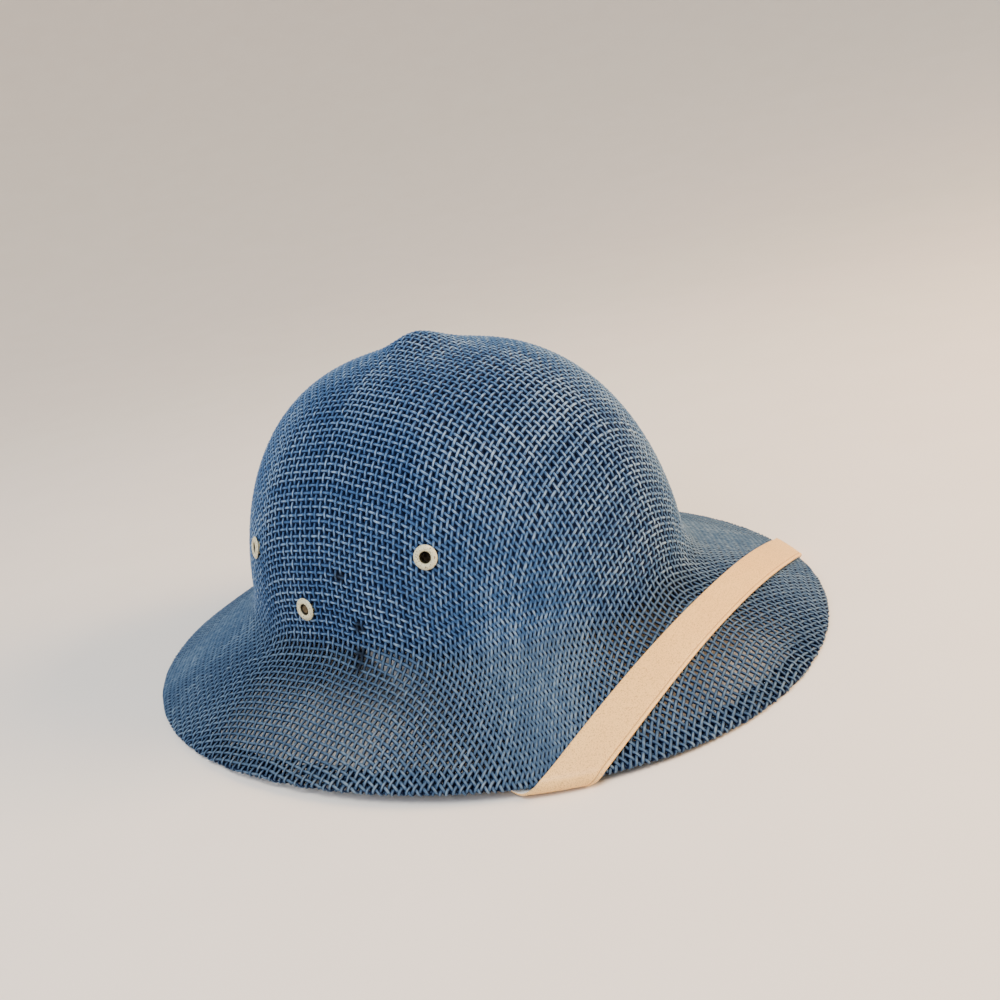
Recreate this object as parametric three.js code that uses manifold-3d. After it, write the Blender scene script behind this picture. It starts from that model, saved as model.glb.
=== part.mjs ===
import * as THREE from 'three';
import { mergeVertices } from 'three/addons/utils/BufferGeometryUtils.js';
import Module from 'manifold-3d';

// A woven sun helmet of pith-helmet form: six-ridged crown, sloping brim with a turned-under hem,
// enamelled eyelets and a chin strap worn over the front of the brim.
// Millimetres, +Z up, front towards -Y. Angles run from the front towards the wearer's right, -X.

// Driving dimensions of the crown
const CROWN_HALF_LENGTH = 112.7;
const CROWN_HALF_WIDTH = 93;
const CROWN_PLAN_POWER = 2.15;
const CROWN_SETBACK = 2.2;
const CROWN_TOP = 146.3;
const CROWN_SIDE_POWER = 2.56;
const CROWN_RISE_POWER = 2.09;
const CROWN_BASE = 32.3;
const CROWN_SHARE_ABOVE_FILLET = 0.935;
const TOP_BUMP_HEIGHT = 7.1;
const TOP_BUMP_RADIUS = 15.5;

// The crown's panels and the soft ridges between them
const PANEL_COUNT = 6;
const PANEL_FLATNESS = 0.33;
const PANEL_FADE = 0.92;
const RIDGE_SOFTNESS = 0.06;

// The brim, whose reach is measured from the crown's axis, and the height of its upper edge
const BRIM_FRONT_REACH = 173.7;
const BRIM_SIDE_REACH = 147.4;
const BRIM_BACK_REACH = 169.3;
const BRIM_PLAN_POWER = 2.087;
const BRIM_DROOP = 0.1;
const BRIM_SHARE_IN_FILLET = 0.2;
const EDGE_FRONT = 4.2;
const EDGE_SIDE = 5.1;
const EDGE_BACK = 2.1;
const EDGE_WAVE = 1.2;

const WALL = 1.6;
const HEM_THICKNESS = 3.2;
const HEM_WIDTH = 11;
const HEM_STEP = 0.6;

const CLEARANCE = 0.3;
const EYELET_HOLE_RADIUS = 2.5;
const EYELET_BARREL_RADIUS = 2.95;
const EYELET_CLINCH_RADIUS = 4.1;
const EYELET_CLINCH_GAP = 0.6;
const EYELET_SHEET = 0.5;

// Rolled flange of an eyelet, from its outer foot over its crest to the hole: radius and height over the seat
const EYELET_FLANGE = [
  { radius: 5.1, height: 0 },
  { radius: 5.3, height: 0.25 },
  { radius: 4.7, height: 0.75 },
  { radius: 3.8, height: 1.1 },
  { radius: 3, height: 0.95 },
  { radius: 2.5, height: 0.4 },
];

const STRAP_WIDTH = 16;
const STRAP_THICKNESS = 1.2;
const STRAP_TOP_GAP = 0.5;
const STRAP_UNDER_DEPTH = 4.4;
const STRAP_FOLD_SLACK = 0.3;
const STRAP_TAB = 9;
const STRAP_ANCHOR = { angle: 104, height: 51.3 };

// Where the strap lies on the brim: its foremost point and how it bows back to each side of it
const STRAP_FOREMOST = { x: 34, y: -134 };
const STRAP_BOW = 0.00078;

const RIVET_RADIUS = 2.15;
const RIVET_HEAD_RADIUS = 4.6;
const RIVET_HEAD_THICKNESS = 1.2;
const RIVET_CHAMFER = 0.4;

// Eyelet places: angle from the front in degrees and height on the crown
const EYELETS = [
  { name: 'vent_eyelet_right_front', angle: 61, height: 77 },
  { name: 'vent_eyelet_left_front', angle: -61, height: 77 },
  { name: 'vent_eyelet_right_back', angle: 128, height: 73 },
  { name: 'vent_eyelet_left_back', angle: -128, height: 73 },
  { name: 'strap_eyelet_right', angle: STRAP_ANCHOR.angle, height: STRAP_ANCHOR.height },
  { name: 'strap_eyelet_left', angle: -STRAP_ANCHOR.angle, height: STRAP_ANCHOR.height },
];

// The strap's way under the brim, as shares of the turn and of the reach from its fold to its anchor
const STRAP_UNDER_WAY = [
  { turn: 0, reach: 0 },
  { turn: 0.2, reach: 0.26 },
  { turn: 0.32, reach: 0.92 },
  { turn: 1, reach: 1 },
];

// How finely the solids are faceted
const SHELL_COLUMNS = 54;
const CROWN_ROWS = 14;
const CROWN_ROW_CROWDING = 1.5;
const FILLET_ROWS = 4;
const BRIM_ROWS = 3;
const RIM_TURNS = [Math.PI / 4, Math.PI / 2, (3 * Math.PI) / 4];
const ROUND_SIDES = 14;
const STRAP_STRANDS = 7;
const STRAP_SAMPLES = 200;
const STRAP_STEP = 8;
const STRAP_FOLD_STEP = 1.4;
const STRAP_FOLD_MARGIN = 7.5;

// Steps of a search by halving, and the length of a punch
const HALVINGS = 40;
const PUNCH_LENGTH = 30;

const COLOURS = { straw: 0x3f6a92, enamel: 0xe8e4c8, vinyl: 0xefdfc4, brass: 0xa8855a };

const { degToRad, lerp, euclideanModulo } = THREE.MathUtils;
const wasm = await Module();
wasm.setup();

// Plan radius of a rounded oval at an angle
function ovalRadius(angle, front, side, back, power) {
  const along = Math.cos(angle) > 0 ? front : back;
  const lengthwise = Math.abs(Math.cos(angle)) / along;
  const crosswise = Math.abs(Math.sin(angle)) / side;
  return (lengthwise ** power + crosswise ** power) ** (-1 / power);
}

function crownRadius(angle) {
  return ovalRadius(angle, CROWN_HALF_LENGTH, CROWN_HALF_WIDTH, CROWN_HALF_LENGTH, CROWN_PLAN_POWER);
}

function brimRadius(angle) {
  return ovalRadius(angle, BRIM_FRONT_REACH, BRIM_SIDE_REACH, BRIM_BACK_REACH, BRIM_PLAN_POWER);
}

// Height of the brim's upper edge, swinging from front to side to back with a slight wave
function edgeHeight(angle) {
  const mean = (EDGE_FRONT + EDGE_BACK) / 4 + EDGE_SIDE / 2;
  const pitch = (EDGE_FRONT - EDGE_BACK) / 2;
  const arch = (EDGE_FRONT + EDGE_BACK) / 4 - EDGE_SIDE / 2;
  const wave = -EDGE_WAVE * Math.cos(3 * angle);
  return mean + pitch * Math.cos(angle) + arch * Math.cos(2 * angle) + wave;
}

// Swelling of the panels: above one on a ridge, below one in the middle of a panel
function panelSwell(angle) {
  const half = Math.PI / PANEL_COUNT;
  const fromRidge = euclideanModulo(angle + half, 2 * half) - half;
  const fromMiddle = half - Math.hypot(fromRidge, RIDGE_SOFTNESS);
  const meanSwell = (1 + Math.cos(half)) / 2;
  return Math.cos(half) / Math.cos(fromMiddle) / meanSwell;
}

// Section of the crown as radius and height, from the top at share 0 to the base line at share 1
function crownSection(angle, share) {
  const quarter = (share * Math.PI) / 2;
  const spread = Math.sin(quarter) ** (2 / CROWN_SIDE_POWER);
  const rise = Math.cos(quarter) ** (2 / CROWN_RISE_POWER);
  const shaping = PANEL_FLATNESS * Math.sin(Math.PI * PANEL_FADE * share);
  const radius = crownRadius(angle) * spread * (1 + shaping * (panelSwell(angle) - 1));
  const bump = TOP_BUMP_HEIGHT * Math.exp(-((radius / TOP_BUMP_RADIUS) ** 2));
  return new THREE.Vector2(radius, lerp(CROWN_BASE, CROWN_TOP, rise) + bump);
}

// Section of the brim, from the crown's base line at share 0 to the edge at share 1
function brimSection(angle, share) {
  const fall = share - BRIM_DROOP * share * (1 - share);
  const radius = lerp(crownRadius(angle), brimRadius(angle), share);
  return new THREE.Vector2(radius, lerp(CROWN_BASE, edgeHeight(angle), fall));
}

// Section of the whole outer surface: place 0 to 1 is the crown, 1 to 2 the fillet, 2 to 3 the brim
function outerSection(angle, place) {
  if (place <= 1) {
    return crownSection(angle, CROWN_SHARE_ABOVE_FILLET * place ** CROWN_ROW_CROWDING);
  }
  if (place >= 2) {
    return brimSection(angle, lerp(BRIM_SHARE_IN_FILLET, 1, place - 2));
  }
  const from = crownSection(angle, CROWN_SHARE_ABOVE_FILLET);
  const corner = new THREE.Vector2(crownRadius(angle), CROWN_BASE);
  const to = brimSection(angle, BRIM_SHARE_IN_FILLET);
  return new THREE.QuadraticBezierCurve(from, corner, to).getPoint(place - 1);
}

function outerPoint(angle, place) {
  const section = outerSection(angle, place);
  return new THREE.Vector3(-section.x * Math.sin(angle), -section.x * Math.cos(angle), section.y);
}

// Direction along the surface, down and outwards
function outwardAlong(angle, place) {
  const step = 1e-3;
  return outerPoint(angle, place + step).sub(outerPoint(angle, place - step)).normalize();
}

function outerNormal(angle, place) {
  if (place === 0) {
    return new THREE.Vector3(0, 0, 1);
  }
  const step = 1e-3;
  const round = outerPoint(angle + step, place).sub(outerPoint(angle - step, place));
  return round.cross(outwardAlong(angle, place)).normalize();
}

// Point a given depth under the outer surface
function pointBelow(angle, place, depth) {
  return outerPoint(angle, place).addScaledVector(outerNormal(angle, place), -depth);
}

// Length of the brim between the fillet and the edge, measured down its slope
function brimSlope(angle) {
  return brimSection(angle, 1).distanceTo(brimSection(angle, BRIM_SHARE_IN_FILLET));
}

// Point on a roll about the middle of the rim: turn 0 is above it, a half turn is below it
function rimPoint(angle, turn, radius) {
  const up = outerNormal(angle, 3).multiplyScalar(radius * Math.cos(turn));
  const out = outwardAlong(angle, 3).multiplyScalar(radius * Math.sin(turn));
  return pointBelow(angle, 3, HEM_THICKNESS / 2).add(up).add(out);
}

// Rows of the wall from the top to the edge, with the wall's depth at each
function wallRows(angle) {
  const rows = [];
  for (let i = 1; i <= CROWN_ROWS; i += 1) {
    rows.push({ place: i / CROWN_ROWS, depth: WALL });
  }
  for (let i = 1; i <= FILLET_ROWS; i += 1) {
    rows.push({ place: 1 + i / FILLET_ROWS, depth: WALL });
  }
  const hemStart = 3 - HEM_WIDTH / brimSlope(angle);
  for (let i = 1; i <= BRIM_ROWS; i += 1) {
    rows.push({ place: lerp(2, hemStart, i / BRIM_ROWS), depth: WALL });
  }
  rows.push({ place: hemStart + HEM_STEP / brimSlope(angle), depth: HEM_THICKNESS });
  rows.push({ place: 3, depth: HEM_THICKNESS });
  return rows;
}

// One section of the wall: down the outside, round the rim and up the inside.
// The hem is flat where it would press into the surface that the helmet stands on.
function wallSection(angle) {
  const rows = wallRows(angle);
  const outside = rows.map((row) => outerPoint(angle, row.place));
  const rim = RIM_TURNS.map((turn) => rimPoint(angle, turn, HEM_THICKNESS / 2));
  const inside = rows.map((row) => pointBelow(angle, row.place, row.depth)).reverse();
  const section = [...outside, ...rim, ...inside];
  section.forEach((point) => point.setZ(Math.max(point.z, 0)));
  return section;
}

function geometryFrom(points, triangles) {
  const geometry = new THREE.BufferGeometry().setFromPoints(points);
  geometry.setIndex(triangles);
  return geometry;
}

// The shell's closed skin, before its eyelet holes are punched
function shellGeometry() {
  const points = [outerPoint(0, 0), pointBelow(0, 0, WALL)];
  const sections = [];
  for (let column = 0; column < SHELL_COLUMNS; column += 1) {
    sections.push(wallSection((column * 2 * Math.PI) / SHELL_COLUMNS));
  }
  sections.forEach((section) => points.push(...section));
  const rows = sections[0].length;
  const corner = (column, row) => 2 + (column % SHELL_COLUMNS) * rows + row;
  const triangles = [];
  for (let column = 0; column < SHELL_COLUMNS; column += 1) {
    triangles.push(0, corner(column + 1, 0), corner(column, 0));
    triangles.push(1, corner(column, rows - 1), corner(column + 1, rows - 1));
    for (let row = 0; row < rows - 1; row += 1) {
      const near = [corner(column, row), corner(column, row + 1)];
      const far = [corner(column + 1, row), corner(column + 1, row + 1)];
      triangles.push(near[0], far[1], near[1], near[0], far[0], far[1]);
    }
  }
  return geometryFrom(points, triangles);
}

function toSolid(geometry) {
  const bare = geometry.clone();
  bare.deleteAttribute('normal');
  bare.deleteAttribute('uv');
  const merged = mergeVertices(bare, 1e-4);
  const vertProperties = new Float32Array(merged.attributes.position.array);
  const triVerts = new Uint32Array(merged.index.array);
  return new wasm.Manifold(new wasm.Mesh({ numProp: 3, vertProperties, triVerts }));
}

function toGeometry(solid) {
  const { vertProperties, triVerts } = solid.getMesh();
  const geometry = new THREE.BufferGeometry();
  geometry.setAttribute('position', new THREE.BufferAttribute(vertProperties, 3));
  geometry.setIndex(new THREE.BufferAttribute(triVerts, 1));
  geometry.computeVertexNormals();
  return geometry;
}

// Place on the outer surface at a height on the crown, found by halving
function placeAtHeight(angle, height) {
  let above = 0.2;
  let below = 1.8;
  for (let i = 0; i < HALVINGS; i += 1) {
    const middle = (above + below) / 2;
    if (outerPoint(angle, middle).z > height) {
      above = middle;
    } else {
      below = middle;
    }
  }
  return above;
}

// Seat of an eyelet: where its axis meets the outer surface, and the turn of its axis
function seatOf(row) {
  const angle = degToRad(row.angle);
  const place = placeAtHeight(angle, row.height);
  const normal = outerNormal(angle, place);
  const turn = new THREE.Quaternion().setFromUnitVectors(new THREE.Vector3(0, 1, 0), normal);
  return { point: outerPoint(angle, place), turn };
}

// A round punch along an eyelet's axis
function punchAt(seat, radius) {
  const punch = new THREE.CylinderGeometry(radius, radius, PUNCH_LENGTH, ROUND_SIDES);
  punch.applyQuaternion(seat.turn).translate(seat.point.x, seat.point.y, seat.point.z);
  return toSolid(punch);
}

function latheOf(outline) {
  const points = outline.map(([radius, height]) => new THREE.Vector2(radius, height));
  return new THREE.LatheGeometry(points, ROUND_SIDES);
}

// Rolled flange outside, barrel through the wall and clinched lip inside, with its axis along +Y
function eyeletGeometry() {
  const lipTop = -(WALL + EYELET_CLINCH_GAP);
  const lipFoot = lipTop - EYELET_SHEET;
  return latheOf([
    [EYELET_HOLE_RADIUS, lipFoot],
    [EYELET_CLINCH_RADIUS, lipFoot],
    [EYELET_CLINCH_RADIUS, lipTop],
    [EYELET_BARREL_RADIUS, lipTop],
    [EYELET_BARREL_RADIUS, CLEARANCE],
    ...EYELET_FLANGE.map((row) => [row.radius, CLEARANCE + row.height]),
    [EYELET_HOLE_RADIUS, lipFoot],
  ]);
}

// Plain rivet through the strap's end and its eyelet, with its head inside the crown
function rivetGeometry() {
  const headTop = -(STRAP_UNDER_DEPTH + STRAP_THICKNESS / 2 + CLEARANCE);
  const headFoot = headTop - RIVET_HEAD_THICKNESS;
  return latheOf([
    [0, headFoot],
    [RIVET_HEAD_RADIUS - RIVET_CHAMFER, headFoot],
    [RIVET_HEAD_RADIUS, headFoot + RIVET_CHAMFER],
    [RIVET_HEAD_RADIUS, headTop],
    [RIVET_RADIUS, headTop],
    [RIVET_RADIUS, 0],
    [RIVET_RADIUS - RIVET_CHAMFER, RIVET_CHAMFER],
    [0, RIVET_CHAMFER],
  ]);
}

// Radius of the strap's fold about the rim and the length of the fold
const FOLD_RADIUS = HEM_THICKNESS / 2 + STRAP_TOP_GAP + STRAP_THICKNESS / 2;
const FOLD_LENGTH = Math.PI * (FOLD_RADIUS + STRAP_FOLD_SLACK / 2);

// Lengths along the inside of the fillet, and along the crown's wall for each unit of place
const FILLET_LENGTH = 24;
const CROWN_LENGTH = 263;

// Place on the surface a reach inwards from the rim
function placeAtReach(angle, reach) {
  const slope = brimSlope(angle);
  if (reach < slope) {
    return 3 - reach / slope;
  }
  if (reach < slope + FILLET_LENGTH) {
    return 2 - (reach - slope) / FILLET_LENGTH;
  }
  return 1 - (reach - slope - FILLET_LENGTH) / CROWN_LENGTH;
}

// Point of the strap at an angle and a way: below 0 on the brim, then round the rim, then under it.
// Lift is the distance from the middle of the strap's thickness, away from the shell.
function strapPoint(angle, way, lift) {
  if (way <= 0) {
    const height = STRAP_TOP_GAP + STRAP_THICKNESS / 2 + lift;
    return pointBelow(angle, 3 + way / brimSlope(angle), -height);
  }
  if (way < FOLD_LENGTH) {
    const turn = (Math.PI * way) / FOLD_LENGTH;
    return rimPoint(angle, turn, FOLD_RADIUS + STRAP_FOLD_SLACK * Math.sin(turn) + lift);
  }
  return pointBelow(angle, placeAtReach(angle, way - FOLD_LENGTH), STRAP_UNDER_DEPTH + lift);
}

// Angle and way of the strap's middle where it lies on the brim, at a distance across the helmet
function strapOnBrim(x) {
  const y = STRAP_FOREMOST.y + STRAP_BOW * (x - STRAP_FOREMOST.x) ** 2;
  const angle = Math.atan2(-x, -y);
  const share = (Math.hypot(x, y) - crownRadius(angle)) / (brimRadius(angle) - crownRadius(angle));
  const place = 2 + (share - BRIM_SHARE_IN_FILLET) / (1 - BRIM_SHARE_IN_FILLET);
  return { angle, way: (place - 3) * brimSlope(angle) };
}

// Distance across the helmet at which the strap's middle comes to the edge on one side
function strapEdgeX(side) {
  let inner = 0;
  let outer = -side * BRIM_SIDE_REACH;
  for (let i = 0; i < HALVINGS; i += 1) {
    const middle = (inner + outer) / 2;
    if (strapOnBrim(middle).way < 0) {
      inner = middle;
    } else {
      outer = middle;
    }
  }
  return inner;
}

// The strap's middle from the edge on one side, round the rim and under it to past the anchor
function strapDescent(side) {
  const stations = [];
  const edgeX = strapEdgeX(side);
  const edge = strapOnBrim(edgeX);
  const before = strapOnBrim(edgeX + side);
  const lean = (edge.angle - before.angle) / (edge.way - before.way);
  for (let i = 1; i <= STRAP_SAMPLES; i += 1) {
    const way = (FOLD_LENGTH * i) / STRAP_SAMPLES;
    stations.push({ angle: edge.angle + lean * way, way });
  }
  const start = edge.angle + lean * FOLD_LENGTH;
  const anchorAngle = side * degToRad(STRAP_ANCHOR.angle);
  const anchorPlace = placeAtHeight(anchorAngle, STRAP_ANCHOR.height);
  const anchorReach = brimSlope(anchorAngle) + FILLET_LENGTH + (1 - anchorPlace) * CROWN_LENGTH;
  const shares = STRAP_UNDER_WAY.map((row) => new THREE.Vector2(row.turn, row.reach));
  const way = new THREE.CubicBezierCurve(...shares);
  const tab = side * (STRAP_TAB / CROWN_HALF_WIDTH);
  for (const share of way.getSpacedPoints(STRAP_SAMPLES).slice(1)) {
    const angle = lerp(start, anchorAngle, share.x);
    stations.push({ angle, way: FOLD_LENGTH + anchorReach * share.y });
  }
  stations.push({ angle: anchorAngle + tab, way: FOLD_LENGTH + anchorReach });
  return stations;
}

// Stations kept from a finely sampled way: close together where the strap turns round the rim
function thinned(samples) {
  const kept = [samples[0]];
  let last = strapPoint(samples[0].angle, samples[0].way, 0);
  for (const sample of samples.slice(1, -1)) {
    const fromFold = Math.abs(sample.way - FOLD_LENGTH / 2) - FOLD_LENGTH / 2;
    const step = fromFold < STRAP_FOLD_MARGIN ? STRAP_FOLD_STEP : STRAP_STEP;
    const point = strapPoint(sample.angle, sample.way, 0);
    if (point.distanceTo(last) >= step) {
      kept.push(sample);
      last = point;
    }
  }
  return [...kept, samples[samples.length - 1]];
}

// The whole way of the strap's middle, from the left anchor over the brim to the right one
function strapStations() {
  const leftX = strapEdgeX(-1);
  const rightX = strapEdgeX(1);
  const top = [];
  for (let i = 0; i <= STRAP_SAMPLES; i += 1) {
    top.push(strapOnBrim(lerp(leftX, rightX, i / STRAP_SAMPLES)));
  }
  return thinned([...strapDescent(-1).reverse(), ...top, ...strapDescent(1)]);
}

// Points across the strap at one station, square to its way
function strapAcross(stations, i, lift) {
  const here = stations[i];
  const before = stations[Math.max(i - 1, 0)];
  const after = stations[Math.min(i + 1, stations.length - 1)];
  const middle = strapPoint(here.angle, here.way, 0);
  const radius = Math.hypot(middle.x, middle.y);
  const heading = new THREE.Vector2(radius * (after.angle - before.angle), after.way - before.way).normalize();
  const points = [];
  for (let j = 0; j <= STRAP_STRANDS; j += 1) {
    const aside = STRAP_WIDTH * (j / STRAP_STRANDS - 0.5);
    const angle = here.angle - (aside * heading.y) / radius;
    points.push(strapPoint(angle, here.way + aside * heading.x, lift));
  }
  return points;
}

// A closed slab between two matching grids of points
function slabGeometry(outer, inner) {
  const columns = outer[0].length;
  const last = outer.length - 1;
  const half = outer.length * columns;
  const out = (i, j) => i * columns + j;
  const into = (i, j) => half + out(i, j);
  const triangles = [];
  const quad = (a, b, c, d) => triangles.push(a, b, c, a, c, d);
  for (let i = 0; i < last; i += 1) {
    for (let j = 0; j < columns - 1; j += 1) {
      quad(out(i, j), out(i + 1, j), out(i + 1, j + 1), out(i, j + 1));
      quad(into(i, j), into(i, j + 1), into(i + 1, j + 1), into(i + 1, j));
    }
    quad(out(i, 0), into(i, 0), into(i + 1, 0), out(i + 1, 0));
    quad(out(i, columns - 1), out(i + 1, columns - 1), into(i + 1, columns - 1), into(i, columns - 1));
  }
  for (let j = 0; j < columns - 1; j += 1) {
    quad(out(0, j), out(0, j + 1), into(0, j + 1), into(0, j));
    quad(out(last, j), into(last, j), into(last, j + 1), out(last, j + 1));
  }
  return geometryFrom([...outer.flat(), ...inner.flat()], triangles);
}

function strapGeometry() {
  const stations = strapStations();
  const outer = stations.map((_, i) => strapAcross(stations, i, STRAP_THICKNESS / 2));
  const inner = stations.map((_, i) => strapAcross(stations, i, -STRAP_THICKNESS / 2));
  return slabGeometry(outer, inner);
}

const strawMaterial = new THREE.MeshStandardMaterial({ color: COLOURS.straw, roughness: 0.6 });
const enamelMaterial = new THREE.MeshStandardMaterial({ color: COLOURS.enamel, roughness: 0.35 });
const vinylMaterial = new THREE.MeshStandardMaterial({ color: COLOURS.vinyl, roughness: 0.4 });
const brassMaterial = new THREE.MeshStandardMaterial({ color: COLOURS.brass, roughness: 0.4, metalness: 1 });

const helmet = new THREE.Group();
helmet.position.y = CROWN_SETBACK;

function addPiece(name, geometry, material, seat) {
  const piece = new THREE.Mesh(geometry, material);
  piece.name = name;
  if (seat) {
    piece.position.copy(seat.point);
    piece.quaternion.copy(seat.turn);
  }
  helmet.add(piece);
}

let shell = toSolid(shellGeometry());
let strap = toSolid(strapGeometry());
for (const row of EYELETS) {
  const seat = seatOf(row);
  shell = shell.subtract(punchAt(seat, EYELET_BARREL_RADIUS + CLEARANCE));
  addPiece(row.name, eyeletGeometry(), enamelMaterial, seat);
}
for (const side of [1, -1]) {
  const seat = seatOf({ angle: side * STRAP_ANCHOR.angle, height: STRAP_ANCHOR.height });
  strap = strap.subtract(punchAt(seat, RIVET_RADIUS + CLEARANCE));
  addPiece(side > 0 ? 'strap_rivet_right' : 'strap_rivet_left', rivetGeometry(), brassMaterial, seat);
}
addPiece('woven_shell', toGeometry(shell), strawMaterial);
addPiece('chin_strap', toGeometry(strap), vinylMaterial);

export default helmet;
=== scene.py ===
import logging
import math
from collections.abc import Callable
from dataclasses import dataclass, field
from enum import Enum
from functools import partial
from typing import Any

import bpy
import numpy as np
from bpy.types import Material, Mesh, Node, NodeSocket, NodeTree, Object
from mathutils import Matrix, Vector


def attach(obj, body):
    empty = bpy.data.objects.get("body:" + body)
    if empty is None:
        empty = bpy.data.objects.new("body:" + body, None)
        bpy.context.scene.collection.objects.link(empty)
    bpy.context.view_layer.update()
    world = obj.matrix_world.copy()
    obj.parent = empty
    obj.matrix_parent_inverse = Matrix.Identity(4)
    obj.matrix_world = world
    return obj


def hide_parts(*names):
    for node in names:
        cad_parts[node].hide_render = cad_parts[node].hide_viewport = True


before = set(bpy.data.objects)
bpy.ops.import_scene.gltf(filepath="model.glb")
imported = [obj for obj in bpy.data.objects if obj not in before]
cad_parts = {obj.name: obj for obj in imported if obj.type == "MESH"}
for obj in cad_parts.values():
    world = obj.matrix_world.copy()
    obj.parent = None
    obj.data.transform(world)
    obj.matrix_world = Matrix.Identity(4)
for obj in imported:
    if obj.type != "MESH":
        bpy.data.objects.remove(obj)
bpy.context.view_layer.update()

Array = np.ndarray
Pair = tuple[Array, Array]
Span = tuple[float, float]
Corners = tuple[Span, ...]

LOG = logging.getLogger("pith_helmet")
MM = 0.001
SEED = 11
BODY = "root"
HALVINGS = 40
SHARP_EDGE = math.radians(40)
ANCHOR_ANGLE, ANCHOR_HEIGHT = 104.0, 51.3

# Kinds of node, their settings, and the numbers of a colour mix's factor and its two colours
MATH, VECTOR, RANGE, MIX, NOISE, BUMP, MARK = (
    f"ShaderNode{kind}" for kind in ("Math", "VectorMath", "MapRange", "Mix", "TexNoise", "Bump", "Attribute"))
SET_POSITION, STORE = "GeometryNodeSetPosition", "GeometryNodeStoreNamedAttribute"
TIMES, TIMES_PLUS, DIVIDED, LESS, SCALED, ABSOLUTE = (
    {"operation": name} for name in ("MULTIPLY", "MULTIPLY_ADD", "DIVIDE", "SUBTRACT", "SCALE", "ABSOLUTE"))
RGBA = {"data_type": "RGBA"}
FACTOR, FIRST, SECOND = 0, 6, 7


class Slot(Enum):
    """Material slots of the record."""

    STRAW = "woven_straw"
    ENAMEL = "enamelled_metal"
    VINYL = "vinyl_strap"
    BRASS = "rivet_brass"


class Family(Enum):
    """The two families of yarns in the plain weave."""

    LENGTHWISE = "lengthwise"
    CROSSWISE = "crosswise"


def linear(code: str) -> tuple[float, ...]:
    """Turns an sRGB colour such as "#3f6a92" into linear red, green and blue and a full alpha."""
    channels = [int(code[i:i + 2], 16) / 255 for i in (1, 3, 5)]
    return (*(c / 12.92 if c <= 0.04045 else ((c + 0.055) / 1.055) ** 2.4 for c in channels), 1.0)


def add_node(tree: NodeTree, kind: str, settings: dict[str, Any] | None = None,
             inputs: dict[str | int, Any] | tuple = ()) -> Node:
    """Adds a node to a tree with its settings, values and links.

    Args:
        tree: The tree that gets the node.
        kind: The node's type name.
        settings: Properties of the node by name.
        inputs: A value, an output or a node for each input, by name or number or in order. A node gives
            its first live output.

    Returns:
        The new node.
    """
    node = tree.nodes.new(kind)
    for name, value in (settings or {}).items():
        setattr(node, name, value)
    for key, value in inputs.items() if isinstance(inputs, dict) else enumerate(inputs):
        if isinstance(value, Node):
            value = next(output for output in value.outputs if output.enabled)
        if isinstance(value, NodeSocket):
            tree.links.new(value, node.inputs[key])
        else:
            node.inputs[key].default_value = value
    return node


def unit(vectors: Array) -> Array:
    """Scales vectors along the last axis to length one."""
    return vectors / np.linalg.norm(vectors, axis=-1, keepdims=True)


def lengths(points: Array) -> Array:
    """Length along a line of points, up to each of them."""
    return np.concatenate([[0], np.cumsum(np.linalg.norm(np.diff(points, axis=0), axis=1))])


def last_kept(kept: float, missed: float, test: Callable[[float], bool]) -> float:
    """Finds where a test stops holding.

    Args:
        kept: A value that passes.
        missed: A value that fails.
        test: The test.

    Returns:
        The last value that passes.
    """
    for _ in range(HALVINGS):
        middle = (kept + missed) / 2
        if test(middle):
            kept = middle
        else:
            missed = middle
    return kept


def band_faces(rings: int, sides: int) -> list[list[int]]:
    """Faces between closed rings of points that follow each other."""
    sets = [(i * sides, (i + 1) * sides, k, (k + 1) % sides) for i in range(rings - 1) for k in range(sides)]
    return [[here + k, here + n, there + n, there + k] for here, there, k, n in sets]


def mark(mesh: Mesh, marks: dict[str, Array]) -> None:
    """Stores a number for each point of a mesh under each name."""
    for name, values in marks.items():
        mesh.attributes.new(name, "FLOAT", "POINT").data.foreach_set("value", values)


def link(name: str, data: bpy.types.ID) -> Object:
    """Puts a new object in the scene.

    Args:
        name: The object's name.
        data: Its mesh, lamp or camera.

    Returns:
        The object.
    """
    made = bpy.data.objects.new(name, data)
    bpy.context.scene.collection.objects.link(made)
    return made


def mesh_piece(name: str, points: Array, faces: list[list[int]], material: Material) -> Object:
    """Makes an object at the origin from points and faces.

    Args:
        name: The object's name.
        points: Points in millimetres.
        faces: Point numbers of each face.
        material: The finish.

    Returns:
        The object, linked to the scene.
    """
    mesh = bpy.data.meshes.new(name)
    mesh.from_pydata((points * MM).tolist(), [], faces)
    mesh.shade_smooth()
    mesh.set_sharp_from_angle(angle=SHARP_EDGE)
    mesh.materials.append(material)
    return link(name, mesh)


def hand_over(piece: Object, node: str) -> None:
    """Puts a finished piece in the frame.

    Args:
        piece: The piece.
        node: The solid that it stands for.
    """
    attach(piece, BODY)
    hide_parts(node)
    LOG.info("%s: %d faces for %s", piece.name, len(piece.data.polygons), node)


@dataclass(frozen=True)
class Finish:
    """A material with a principled surface, named for the real one."""

    name: str

    def place(self, tree: NodeTree) -> Node:
        """Adds object coordinates in millimetres to a tree."""
        coordinates = add_node(tree, "ShaderNodeTexCoord").outputs["Object"]
        return add_node(tree, VECTOR, SCALED, {0: coordinates, "Scale": 1 / MM})

    def look(self, tree: NodeTree) -> dict[str, Any]:
        """Adds the finish's own nodes to a tree and gives a value or a node for each input of its surface."""
        raise NotImplementedError

    def material(self) -> Material:
        """Builds the material.

        Returns:
            The material.
        """
        material = bpy.data.materials.new(self.name)
        material.use_nodes = True
        tree = material.node_tree
        tree.nodes.clear()
        surface = add_node(tree, "ShaderNodeBsdfPrincipled", {}, self.look(tree))
        add_node(tree, "ShaderNodeOutputMaterial", {}, {"Surface": surface})
        return material


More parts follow.
